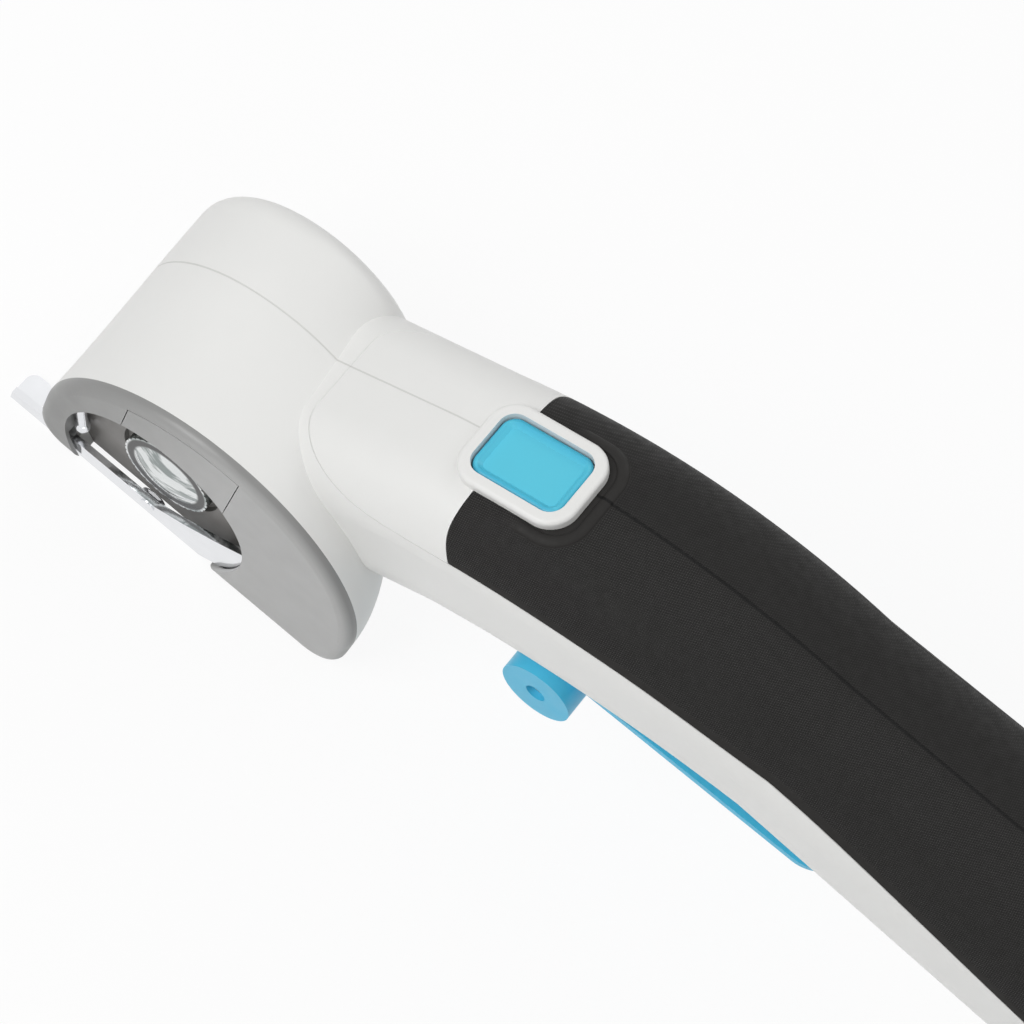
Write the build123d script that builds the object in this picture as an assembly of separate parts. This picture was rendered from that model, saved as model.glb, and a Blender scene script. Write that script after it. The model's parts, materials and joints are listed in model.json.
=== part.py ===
from build123d import *
import math
import os

# Cordless electric can opener. Millimetres. X runs from the head to the tail, +Z is the button side,
# and the face plate with the drive wheel is on the -Y side. The origin is the middle of the head's foot.

# Head barrel
HEAD_FRONT = -41.0
HEAD_NEAR_Y = -28.0
HEAD_FAR_Y = 23.0
# Radius of the arch, height of the upright sides under it and foot corner of each end
FACE_ARCH = (39.8, 13.4, 8.0)
FAR_ARCH = (27.0, 27.0, 20.0)
FAR_EDGE_ROUND = 6.0
FOOT_TRIM = 0.4
# Share of the way from the near to the far end, and how much of the flare is done there
FLARE = [(0.0, 0.0), (0.25, 0.14), (0.6, 0.66), (1.0, 1.0)]
# Plane where the two body halves meet
SPLIT_Y = 2.0

# Walls
SKIN = 2.0
HANDLE_WALL = 2.0
HEAD_WALL = 1.6

# Spine of the neck and handle: a straight neck, a bend and a straight handle
BEND_START = (37.6, 52.6)
NECK_TILT = 34.0
HANDLE_TILT = -0.5
BEND_RADIUS = 135.0
NECK_LENGTH = 44.0
HANDLE_LENGTH = 72.0
# Width, height and corner radius of each section along the spine
NECK_ROOT_SIZE = (44.0, 40.0, 13.0)
BEND_START_SIZE = (43.0, 41.0, 14.0)
BEND_MIDDLE_SIZE = (45.0, 37.0, 13.5)
BEND_END_SIZE = (44.6, 31.6, 13.0)
TAIL_SIZE = (47.0, 34.0, 13.0)

# Seam between the lower body and the cover and grip, as X and Z of the side view
SEAM = [(-22.0, 55.0), (6.0, 54.0), (22.0, 56.5), (43.0, 67.0), (56.0, 73.2), (70.0, 78.2), (84.0, 81.8),
        (98.0, 83.8), (116.0, 84.8), (134.0, 84.4), (160.0, 82.8), (215.0, 79.0)]
SEAM_GAP = 0.2
# Front edge of the grip in the side view
GRIP_EDGE = [(37.6, 110.0), (37.8, 76.0), (39.2, 71.5), (43.0, 67.0), (46.0, 60.0), (47.0, 40.0)]
TONGUE_FRONT = 0.7
TONGUE_RADIUS = 27.0
FAR_OUT = 300.0

# Power button
BUTTON_X = 43.5
BUTTON_TILT = 24.0
BUTTON_SIZE = (21.0, 14.6, 3.2)
BUTTON_GAP = 0.3
BUTTON_STANDS = 0.6
BUTTON_TRAVEL = 1.5
BUTTON_DISH = 1.0
BUTTON_FLANGE = 1.0
BEZEL_BAND = 2.6
BEZEL_RISE = 1.4
BEZEL_DEPTH = 4.6
BEZEL_EDGE = 1.0
BUTTON_EDGE = 0.8
BUTTON_RIM = 1.0
BUTTON_STEM = 3.0
BUTTON_STEM_RADIUS = 2.0
SWITCH_SIZE = (12.8, 5.8, 6.5)
SWITCH_PLUNGER = 1.0
SWITCH_LEG = 3.5
SWITCH_LEG_PITCH = 4.2
BUTTON_WELL = 14.0

# Ribs of the body, by distance ahead of the tail
RIB_THICK = 2.0
RIB_PLACES = [96.0, 56.0, 16.0]

# Face plate and its recess
PLATE_THICK = 2.8
PLATE_ROUND = 2.6
PLUG_DEPTH = 2.5
RECESS_CENTRE = (-11.8, 14.8)
RECESS_RADIUS = 22.8
INSERT_SPAN = (-24.0, 2.6)
INSERT_RIM = 2.1
INSERT_LOW = 30.0
INSERT_DEPTH = 1.2
INSERT_GAP = 0.2
LINER_THICK = 3.0
LINER_GAP = 0.15

# Drive
DRIVE_AXIS = (-12.0, 18.0)
WHEEL_RADIUS = 10.5
WHEEL_THICK = 2.6
WHEEL_TEETH = 36
WHEEL_TOOTH = 0.5
WHEEL_FRONT_Y = -27.2
WHEEL_POCKET = 1.2
WHEEL_POCKET_GAP = 1.6
DOME_RADIUS = 7.8
DOME_RISE = 1.7
SHAFT_RADIUS = 2.5
BUSH_RADIUS = 4.5
RUNNING_GAP = 0.04
AXIAL_GAP = 0.3

# Gear train: teeth, module, angle of each step from one axis to the next
PRESSURE_ANGLE = 25.0
ADDENDUM = 0.8
DEDENDUM = 1.05
BACKLASH = 0.14
FLANK_STEPS = 3
OUTPUT_TEETH = 30
SECOND_PINION_TEETH = 12
OUTPUT_MODULE = 0.85
OUTPUT_STEP = 62.0
SECOND_TEETH = 36
FIRST_PINION_TEETH = 12
SECOND_MODULE = 0.7
SECOND_STEP = 5.0
FIRST_TEETH = 40
MOTOR_TEETH = 10
FIRST_MODULE = 0.6
FIRST_STEP = 38.0
OUTPUT_FACE = 3.0
SECOND_FACE = 3.0
FIRST_FACE = 2.5
GEAR_PIN_RADIUS = 1.5
HUB_WALL = 2.0
HUB_LENGTH = 2.5
OUTPUT_SPACE = 0.9
SECOND_SPACE = 2.6
FIRST_SPACE = 1.2

# Gear frame and motor
FRAME_THICK = 2.0
FRAME_Y = -8.0
FRAME_MARGIN = 6.5
BOSS_RADIUS = 3.2
BOSSES = [(-29.0, 18.0), (6.0, 10.0), (-20.0, 40.0)]
SCREW_RADIUS = 1.25
SCREW_LENGTH = 7.0
SCREW_HEAD_RADIUS = 2.4
SCREW_HEAD_HEIGHT = 1.5
MOTOR_RADIUS = 11.0
MOTOR_LENGTH = 18.0
MOTOR_FLAT = 9.0
MOTOR_SHAFT_RADIUS = 1.0
MOTOR_NECK_RADIUS = 3.5
MOTOR_SCREW_SPACING = 7.0
MOTOR_SCREW_HEAD = 2.0
MOTOR_SCREW_HEAD_HEIGHT = 0.8

# Cutter arm
ARM_Y = -29.6
ARM_THICK = 1.4
ARM_PIVOT = (14.0, 13.5)
ARM_END_RADIUS = 5.4
ARM_OUTLINE = [(-48.0, 0.0), (2.5, 0.0), (15.6, 8.3), (10.0, 17.2), (4.3, 13.2), (-3.4, 8.6), (-10.5, 5.2),
               (-29.0, 5.0), (-48.0, 3.4)]
ARM_LIFT = 3.0
ARM_PIN_RADIUS = 2.2
TAB_LENGTH = 6.2
TAB_DEPTH = 7.0
TAB_THICK = 1.6
TAB_ROUND = 2.4
TAB_CLEAR = 0.8
ARM_SLOT_GAP = 0.6
ARM_SKIN_GAP = 0.3
CUTTER_AXIS = (-12.0, 3.2)
CUTTER_RADIUS = 3.0
CUTTER_THICK = 0.6
CUTTER_EDGE = 0.7
CUTTER_PIN_RADIUS = 1.1
CUTTER_PIN_HEAD = 1.7
CUTTER_SPACE = 0.15
CUTTER_BEVEL = 0.35
RIVET_HEAD = 0.25
# Guide post: where it enters the plate and where its ball end is, in the side view
POST_ROOT = (-34.9, 21.4)
POST_END = (-32.0, 9.9)
POST_Y = -27.6
POST_RADIUS = 1.2
POST_BALL = 1.7

# Squeeze lever
LEVER_AXIS = (72.3, 42.2)
LEVER_KNUCKLE_RADIUS = 8.0
LEVER_HALF_WIDTH = 21.0
BLADE_HALF_WIDTH = 17.0
LEVER_LUG_HALF_WIDTH = 8.0
LEVER_SIDE_GAP = 0.4
LEVER_PIN_RADIUS = 2.2
LEVER_PIN_SHY = 1.5
LEVER_LENGTH = 68.0
LEVER_TILT = 3.0
LEVER_THICK = 2.4
LEVER_SWING = 3.5
LEVER_ROOM = 20.0
LEVER_TIP_RADIUS = 9.0
LEVER_EDGE = 0.9
LEVER_SWING_GAP = 1.0
LUG_RADIUS = 6.5
LUG_REACH = 18.0

# Battery
CELL_RADIUS = 7.25
CELL_LENGTH = 50.5
CELL_SPACING = 15.2
CELL_REACH = 103.0
CELL_GAP = 0.2
TRAY_WALL = 1.2
NUB_RADIUS = 2.75
NUB_HEIGHT = 1.0
CONTACT_THICK = 0.5
DOOR_THICK = 7.0
DOOR_ROUND = 6.0
DOOR_KNUCKLE = 2.6
DOOR_PIN_RADIUS = 1.1
DOOR_KNUCKLE_HALF = 6.0
DOOR_HINGE_HALF = 11.0
DOOR_DROP = 1.2
DOOR_GAP = 0.4
DOOR_BUMP = 1.6


def arch(size, inset=0.0):
    """Foot, two upright sides and a round top, drawn in X and Z, with its front at HEAD_FRONT."""
    radius, side, corner = size
    middle = HEAD_FRONT + radius
    radius = radius - inset
    corner = corner - inset
    left = middle - radius
    right = middle + radius
    foot = inset - FOOT_TRIM
    outline = [
        Line((left + corner, foot), (right - corner, foot)),
        CenterArc((right - corner, foot + corner), corner, -90, 90),
        Line((right, foot + corner), (right, side)),
        CenterArc((middle, side), radius, 0, 180),
        Line((left, side), (left, foot + corner)),
        CenterArc((left + corner, foot + corner), corner, 180, 90),
    ]
    return make_face(outline)


def blend(start, end, share):
    return start + (end - start) * share


def side_plane(y):
    """Plane of the side view at a given Y: local x is X and local y is Z, with its normal along -Y."""
    return Plane.XZ.offset(-y)


def slab(face, y_near, y_far):
    """Extrude a side-view face from the near Y to the far Y."""
    return extrude(side_plane(y_far) * face, y_far - y_near)


def disc(centre, radius, y_near, y_far):
    return slab(Pos(*centre) * Circle(radius), y_near, y_far)


def ring(centre, radius, bore, y_near, y_far):
    return disc(centre, radius, y_near, y_far) - disc(centre, bore, y_near, y_far)


def step_from(centre, distance, angle):
    turn = math.radians(angle)
    return (centre[0] + distance * math.cos(turn), centre[1] + distance * math.sin(turn))


def above(z):
    """Everything above a level."""
    return Pos(0, 0, z + FAR_OUT / 2) * Box(2 * FAR_OUT, 2 * FAR_OUT, FAR_OUT)


def face_outline(inset=0.0):
    return arch(FACE_ARCH, inset)


def head(inset=0.0, near_gap=0.0):
    """Barrel that flares towards the face plate and stands on a flat foot."""
    sections = []
    for share, flare in FLARE:
        y = blend(HEAD_NEAR_Y - near_gap, HEAD_FAR_Y - inset, share)
        size = [blend(near, far, flare) for near, far in zip(FACE_ARCH, FAR_ARCH)]
        sections.append(side_plane(y) * arch(size, inset))
    barrel = loft(sections)
    far_face = barrel.faces().sort_by(Axis.Y)[-1]
    return fillet(far_face.edges(), FAR_EDGE_ROUND - inset) & above(inset)


BEND_CENTRE = step_from(BEND_START, BEND_RADIUS, NECK_TILT - 90)


def spine_plane(tilt, along=0.0):
    """Section plane where the spine has this tilt, moved along the spine's direction there."""
    turn = math.radians(tilt)
    point = step_from(step_from(BEND_CENTRE, BEND_RADIUS, tilt + 90), along, tilt)
    ahead = (math.cos(turn), 0, math.sin(turn))
    return Plane(origin=(point[0], 0, point[1]), x_dir=(0, 1, 0), z_dir=ahead)


def spine_face(plane, size, inset=0.0):
    return plane * RectangleRounded(size[0] - 2 * inset, size[1] - 2 * inset, size[2] - inset)


TAIL_PLANE = spine_plane(HANDLE_TILT, HANDLE_LENGTH)


def handle(inset=0.0):
    """Straight neck, bend and straight handle, lofted one after the other."""
    root = spine_face(spine_plane(NECK_TILT, -NECK_LENGTH), NECK_ROOT_SIZE, inset)
    start = spine_face(spine_plane(NECK_TILT), BEND_START_SIZE, inset)
    middle = spine_face(spine_plane((NECK_TILT + HANDLE_TILT) / 2), BEND_MIDDLE_SIZE, inset)
    end = spine_face(spine_plane(HANDLE_TILT), BEND_END_SIZE, inset)
    tail = spine_face(TAIL_PLANE, TAIL_SIZE, inset)
    return loft([root, start]) + loft([start, middle, end]) + loft([end, tail])


def half_space(sign):
    """Everything on one side of the plane where the halves meet."""
    return Pos(0, SPLIT_Y + sign * FAR_OUT / 2, 0) * Box(2 * FAR_OUT, FAR_OUT, 2 * FAR_OUT)


def upper_zone(gap=0.0):
    """What lies above the seam, from the rounded front of the tongue to the tail."""
    seam = [(x, z + gap) for x, z in SEAM]
    last = seam[-1]
    first = seam[0]
    side = make_face([
        Spline(*seam),
        Line(last, (last[0], FAR_OUT)),
        Line((last[0], FAR_OUT), (first[0], FAR_OUT)),
        Line((first[0], FAR_OUT), first),
    ])
    centre = TONGUE_FRONT + TONGUE_RADIUS
    plan = Pos(centre, 0) * Circle(TONGUE_RADIUS - gap)
    plan += Pos(centre + FAR_OUT / 2, 0) * Rectangle(FAR_OUT, 2 * TONGUE_RADIUS - 2 * gap)
    return slab(side, -FAR_OUT / 2, FAR_OUT / 2) & extrude(plan, FAR_OUT)


def involute(angle):
    return math.tan(angle) - angle


def gear_face(centre, teeth, module, phase):
    """Stub involute gear with one tooth pointing at the phase angle, in degrees."""
    pitch = module * teeth / 2
    pressure = math.radians(PRESSURE_ANGLE)
    base = pitch * math.cos(pressure)
    root = pitch - DEDENDUM * module
    tip = pitch + ADDENDUM * module
    half = math.pi / (2 * teeth) - BACKLASH / (4 * pitch)
    start = max(base, root)
    flank = [(root, half + involute(pressure))] if base > root else []
    for step in range(FLANK_STEPS + 1):
        radius = blend(start, tip, step / FLANK_STEPS)
        flank.append((radius, half + involute(pressure) - involute(math.acos(base / radius))))
    points = []
    for tooth in range(teeth):
        middle = math.radians(phase) + 2 * math.pi * tooth / teeth
        rising = [(radius, middle - offset) for radius, offset in flank]
        falling = [(radius, middle + offset) for radius, offset in reversed(flank)]
        for radius, angle in rising + falling:
            points.append((centre[0] + radius * math.cos(angle), centre[1] + radius * math.sin(angle)))
    return make_face(Polyline(*points, close=True))


def centre_distance(module, teeth_one, teeth_two):
    return module * (teeth_one + teeth_two) / 2


def gap_phase(step_angle, teeth):
    """Phase that turns a gap of the gear towards the axis it was stepped from."""
    return step_angle + 180 + 180 / teeth


# Axes of the gear train
OUTPUT_DISTANCE = centre_distance(OUTPUT_MODULE, OUTPUT_TEETH, SECOND_PINION_TEETH)
SECOND_DISTANCE = centre_distance(SECOND_MODULE, SECOND_TEETH, FIRST_PINION_TEETH)
FIRST_DISTANCE = centre_distance(FIRST_MODULE, FIRST_TEETH, MOTOR_TEETH)
SECOND_AXIS = step_from(DRIVE_AXIS, OUTPUT_DISTANCE, OUTPUT_STEP)
FIRST_AXIS = step_from(SECOND_AXIS, SECOND_DISTANCE, SECOND_STEP)
MOTOR_AXIS = step_from(FIRST_AXIS, FIRST_DISTANCE, FIRST_STEP)

# Layers of the gear train along Y
LINER_Y = HEAD_NEAR_Y + PLUG_DEPTH
LINER_FAR_Y = LINER_Y + LINER_THICK
OUTPUT_Y = LINER_FAR_Y + OUTPUT_SPACE
SECOND_Y = OUTPUT_Y + OUTPUT_FACE + SECOND_SPACE
FIRST_Y = SECOND_Y + SECOND_FACE + FIRST_SPACE
FRAME_FAR_Y = FRAME_Y + FRAME_THICK
PLATE_Y = HEAD_NEAR_Y - PLATE_THICK
PLUG_INSET = SKIN + HEAD_WALL + LINER_GAP

outer = head() + handle()
under_skin = head(SKIN) + handle(SKIN)
cavity = head(SKIN + HEAD_WALL, AXIAL_GAP) + handle(SKIN + HANDLE_WALL)
clear_room = head(PLUG_INSET, AXIAL_GAP) + handle(SKIN + HANDLE_WALL + LINER_GAP)
skin = outer - under_skin
upper_skin = skin & upper_zone()
cover_skin = skin & upper_zone(SEAM_GAP)

parts = {}


def button_plane():
    """Plane of the button, tilted with the neck, at the top of the body."""
    turn = math.radians(BUTTON_TILT)
    column = outer & Pos(BUTTON_X, 0, FAR_OUT / 2) * Box(SKIN, SKIN, FAR_OUT)
    top = column.bounding_box().max.Z
    return Plane(origin=(BUTTON_X, 0, top), x_dir=(math.cos(turn), 0, math.sin(turn)),
                 z_dir=(-math.sin(turn), 0, math.cos(turn)))


BUTTON_PLANE = button_plane()
BEZEL_LOW = BEZEL_RISE - BEZEL_DEPTH
BUTTON_LOW = BEZEL_LOW - BUTTON_GAP - BUTTON_FLANGE


def button_face(grow=0.0):
    length, width, corner = BUTTON_SIZE
    return RectangleRounded(length + 2 * grow, width + 2 * grow, corner + grow)


def button_block(low, high, grow=0.0):
    return extrude(BUTTON_PLANE.offset(low) * button_face(grow), high - low)


def top_face(solid):
    return solid.faces().sort_by(Axis((0, 0, 0), BUTTON_PLANE.z_dir))[-1]


def make_button():
    bezel = button_block(BEZEL_LOW, BEZEL_RISE, BUTTON_GAP + BEZEL_BAND)
    bezel = fillet(top_face(bezel).edges(), BEZEL_EDGE)
    bezel -= button_block(BEZEL_LOW, BEZEL_RISE, BUTTON_GAP)
    button = button_block(BUTTON_LOW, BUTTON_STANDS)
    button = fillet(top_face(button).edges(), BUTTON_EDGE)
    dish_floor = BUTTON_PLANE.offset(BUTTON_STANDS - BUTTON_DISH)
    dish_mouth = BUTTON_PLANE.offset(BUTTON_STANDS)
    floor = button_face(-BUTTON_RIM - BUTTON_DISH)
    mouth = button_face(-BUTTON_RIM)
    button -= loft([dish_floor * floor, dish_mouth * mouth])
    button += button_block(BUTTON_LOW, BUTTON_LOW + BUTTON_FLANGE, BUTTON_FLANGE)
    stem_low = BUTTON_LOW - BUTTON_STEM
    button += extrude(BUTTON_PLANE.offset(stem_low) * Circle(BUTTON_STEM_RADIUS), BUTTON_STEM)
    parts["button_bezel"] = bezel
    parts["power_button"] = button


def make_switch():
    """Micro switch under the button stem, standing on its shelf in the body."""
    top = BUTTON_LOW - BUTTON_STEM - BUTTON_TRAVEL - BUTTON_GAP
    body_top = top - SWITCH_PLUNGER
    length, width, height = SWITCH_SIZE
    floor = body_top - height
    body = extrude(BUTTON_PLANE.offset(floor) * Rectangle(length, width), height)
    body += extrude(BUTTON_PLANE.offset(body_top) * Circle(SWITCH_PLUNGER), SWITCH_PLUNGER)
    for leg in BUTTON_PLANE.offset(floor - SWITCH_LEG) * GridLocations(SWITCH_LEG_PITCH, 1, 3, 1):
        body += extrude(leg * Rectangle(SWITCH_PLUNGER, CONTACT_THICK), SWITCH_LEG)
    parts["micro_switch"] = body
    return floor


def cross_slab(plane, low, high):
    """Slab square to the spine, wide enough to cross the whole body."""
    return extrude(plane.offset(low) * Rectangle(FAR_OUT / 2, FAR_OUT / 2), high - low)


def make_battery():
    """Four cells in a tray on the handle's axis, with a contact plate at each end."""
    axis = TAIL_PLANE.offset(-CELL_REACH)
    length = 2 * CELL_LENGTH
    cells = []
    for side in (-1, 1):
        for place in (0, 1):
            spot = axis.offset(place * CELL_LENGTH) * Pos(side * CELL_SPACING / 2, 0)
            can = extrude(spot * Circle(CELL_RADIUS), CELL_LENGTH - NUB_HEIGHT)
            can = fillet(can.edges().filter_by(GeomType.CIRCLE), CONTACT_THICK)
            nub = extrude(spot * Pos(0, 0, CELL_LENGTH - NUB_HEIGHT) * Circle(NUB_RADIUS), NUB_HEIGHT)
            cells.append(can + nub)
    parts["battery_cells"] = Compound(cells)
    width = CELL_SPACING + 2 * CELL_RADIUS + 2 * CELL_GAP
    depth = 2 * CELL_RADIUS + 2 * CELL_GAP
    inside = Rectangle(width, depth)
    room_plane = axis.offset(-CONTACT_THICK)
    room_length = length + CONTACT_THICK
    border = offset(inside, TRAY_WALL, kind=Kind.INTERSECTION)
    outside = extrude(axis.offset(-TRAY_WALL - CONTACT_THICK) * border, room_length + TRAY_WALL)
    room = extrude(room_plane * inside, room_length)
    open_top = extrude(room_plane * Pos(0, depth / 2) * inside, room_length)
    parts["battery_tray"] = (outside - room - open_top) & clear_room
    front = Rectangle(width - CELL_GAP, depth - CELL_GAP)
    parts["battery_contacts"] = extrude(room_plane * front, CONTACT_THICK)
    return outside


TAIL_POINT = (TAIL_PLANE.origin.X, TAIL_PLANE.origin.Z)
DOOR_AXIS = step_from(TAIL_POINT, TAIL_SIZE[1] / 2 + DOOR_DROP, HANDLE_TILT - 90)


def knuckle_room(inner, outer_half):
    """Space round the hinge axis of the door, on both sides of the middle, with its gap."""
    room = disc(DOOR_AXIS, DOOR_KNUCKLE + DOOR_GAP, -outer_half - DOOR_GAP, outer_half + DOOR_GAP)
    if inner > 0:
        room -= disc(DOOR_AXIS, DOOR_KNUCKLE + DOOR_GAP, DOOR_GAP - inner, inner - DOOR_GAP)
    return room


make_button()
shelf_top = make_switch()
tray_block = make_battery()


def grip_front_zone():
    """What lies ahead of the grip's front edge."""
    first = GRIP_EDGE[0]
    last = GRIP_EDGE[-1]
    ahead = make_face([
        Spline(*GRIP_EDGE),
        Line(last, (-FAR_OUT, last[1])),
        Line((-FAR_OUT, last[1]), (-FAR_OUT, first[1])),
        Line((-FAR_OUT, first[1]), first),
    ])
    return slab(ahead, -FAR_OUT / 2, FAR_OUT / 2)


def lever_room():
    """Shallow pocket under the neck for the lever's knuckles."""
    half = LEVER_HALF_WIDTH + LEVER_SIDE_GAP
    reach = LEVER_KNUCKLE_RADIUS + LEVER_SIDE_GAP
    swept = Pos(LEVER_ROOM / 2, reach / 2) * Rectangle(LEVER_ROOM, reach)
    swept = Pos(*LEVER_AXIS) * Rot(0, 0, LEVER_TILT + LEVER_SWING) * swept
    return disc(LEVER_AXIS, reach, -half, half) + slab(swept, -half, half)


def make_housing():
    """Two shells with ribs that carry the switch and the battery tray, and the lug of the lever."""
    button_well = button_block(-BUTTON_WELL, BUTTON_WELL, BUTTON_GAP + BEZEL_BAND)
    ribs = []
    for along in RIB_PLACES:
        ribs.append(cross_slab(TAIL_PLANE, -along, RIB_THICK - along))
    rib_block = Part() + ribs
    rib_block = (rib_block & cavity) - tray_block
    shelf_plane = BUTTON_PLANE.offset(shelf_top - RIB_THICK)
    shelf = extrude(shelf_plane * Rectangle(SWITCH_SIZE[0] + 2 * RIB_THICK, FAR_OUT), RIB_THICK)
    leg_hole = extrude(shelf_plane * Rectangle(SWITCH_SIZE[0] - RIB_THICK, SWITCH_SIZE[1]), RIB_THICK)
    shelf = (shelf & cavity) - leg_hole
    body = (outer - cavity) - upper_skin - button_well
    lug = disc(LEVER_AXIS, LUG_RADIUS, -LEVER_LUG_HALF_WIDTH, LEVER_LUG_HALF_WIDTH)
    web = Pos(LEVER_AXIS[0], LEVER_AXIS[1] + LUG_REACH / 2) * Rectangle(2 * LUG_RADIUS, LUG_REACH)
    lug += slab(web, -LEVER_LUG_HALF_WIDTH, LEVER_LUG_HALF_WIDTH)
    lug = lug - cavity - disc(LEVER_AXIS, LEVER_PIN_RADIUS, -FAR_OUT, FAR_OUT)
    hinge = ring(DOOR_AXIS, DOOR_KNUCKLE, DOOR_PIN_RADIUS, -DOOR_HINGE_HALF, DOOR_HINGE_HALF)
    body -= lever_room()
    body -= disc(RECESS_CENTRE, RECESS_RADIUS, HEAD_NEAR_Y, LINER_FAR_Y + AXIAL_GAP)
    whole = body + rib_block + shelf + lug + hinge - knuckle_room(0, DOOR_KNUCKLE_HALF)
    front_zone = grip_front_zone()
    gap_zone = Pos(SEAM_GAP, 0, 0) * front_zone
    covers = cover_skin - button_well
    for side, sign in [("left", -1), ("right", 1)]:
        half = half_space(sign)
        parts["housing_" + side] = whole & half
        parts["neck_cover_" + side] = covers & half & front_zone
        parts["grip_" + side] = (covers & half) - gap_zone


def arm_outline(lift=0.0):
    outline = make_face(Polyline(*ARM_OUTLINE, close=True)) + Pos(*ARM_PIVOT) * Circle(ARM_END_RADIUS)
    return Pos(*ARM_PIVOT) * Rot(0, 0, -lift) * Pos(-ARM_PIVOT[0], -ARM_PIVOT[1]) * outline


def make_face_plate():
    """Grey plate with a rounded rim, a plug in the body's mouth, an open recess and a flush insert."""
    plate = slab(face_outline(), PLATE_Y, HEAD_NEAR_Y)
    plate = fillet(plate.faces().sort_by(Axis.Y)[0].edges(), PLATE_ROUND)
    plate += slab(face_outline(PLUG_INSET), HEAD_NEAR_Y, LINER_Y) & head(PLUG_INSET, AXIAL_GAP)
    plate = plate & above(0)
    plate -= disc(RECESS_CENTRE, RECESS_RADIUS, PLATE_Y, LINER_Y)
    swept = offset(arm_outline(), ARM_SLOT_GAP) + offset(arm_outline(ARM_LIFT), ARM_SLOT_GAP)
    plate -= slab(swept, ARM_Y - ARM_SKIN_GAP, HEAD_NEAR_Y)
    plate -= disc(ARM_PIVOT, ARM_PIN_RADIUS, HEAD_NEAR_Y, LINER_Y)
    plate -= make_post()
    insert_middle = Pos((INSERT_SPAN[0] + INSERT_SPAN[1]) / 2, INSERT_LOW + FAR_OUT / 2)
    insert_width = INSERT_SPAN[1] - INSERT_SPAN[0]
    pocket = insert_middle * Rectangle(insert_width, FAR_OUT) & face_outline(INSERT_RIM)
    pocket_solid = slab(pocket, PLATE_Y, PLATE_Y + INSERT_DEPTH) & plate
    filler = insert_middle * Rectangle(insert_width - 2 * INSERT_GAP, FAR_OUT)
    filler = filler & face_outline(INSERT_RIM + INSERT_GAP)
    parts["plate_insert"] = slab(filler, PLATE_Y, PLATE_Y + INSERT_DEPTH) & plate
    parts["face_plate"] = plate - pocket_solid


def make_post():
    """Slanted pin with a ball end, held in the plate at its upper end."""
    root = Vector(POST_ROOT[0], POST_Y, POST_ROOT[1])
    end = Vector(POST_END[0], POST_Y, POST_END[1])
    pin = extrude(Plane(origin=root, z_dir=end - root) * Circle(POST_RADIUS), (end - root).length)
    post = pin + Pos(end) * Sphere(POST_BALL)
    parts["guide_post"] = post
    return post


def make_liner():
    """Dark inner plate: floor of the recess, front wall of the gear box and foot of its bosses."""
    liner = slab(face_outline(PLUG_INSET), LINER_Y, LINER_FAR_Y)
    liner = liner & head(PLUG_INSET, AXIAL_GAP)
    liner += disc(RECESS_CENTRE, RECESS_RADIUS - LINER_GAP, LINER_Y, LINER_FAR_Y) & above(LINER_GAP)
    liner -= disc(DRIVE_AXIS, WHEEL_RADIUS + WHEEL_POCKET_GAP, LINER_Y, LINER_Y + WHEEL_POCKET)
    liner -= disc(DRIVE_AXIS, BUSH_RADIUS, LINER_Y, LINER_FAR_Y)
    for boss in BOSSES:
        liner += disc(boss, BOSS_RADIUS, LINER_FAR_Y, FRAME_Y)
        liner -= disc(boss, SCREW_RADIUS, FRAME_FAR_Y - SCREW_LENGTH, FRAME_Y)
    for axis in (SECOND_AXIS, FIRST_AXIS):
        liner -= disc(axis, GEAR_PIN_RADIUS, LINER_Y + AXIAL_GAP, LINER_FAR_Y)
    liner -= disc(ARM_PIVOT, ARM_PIN_RADIUS, LINER_Y, LINER_FAR_Y)
    parts["recess_liner"] = liner


def gear(centre, teeth, module, phase, y_near, y_far):
    return slab(gear_face(centre, teeth, module, phase), y_near, y_far)


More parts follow.
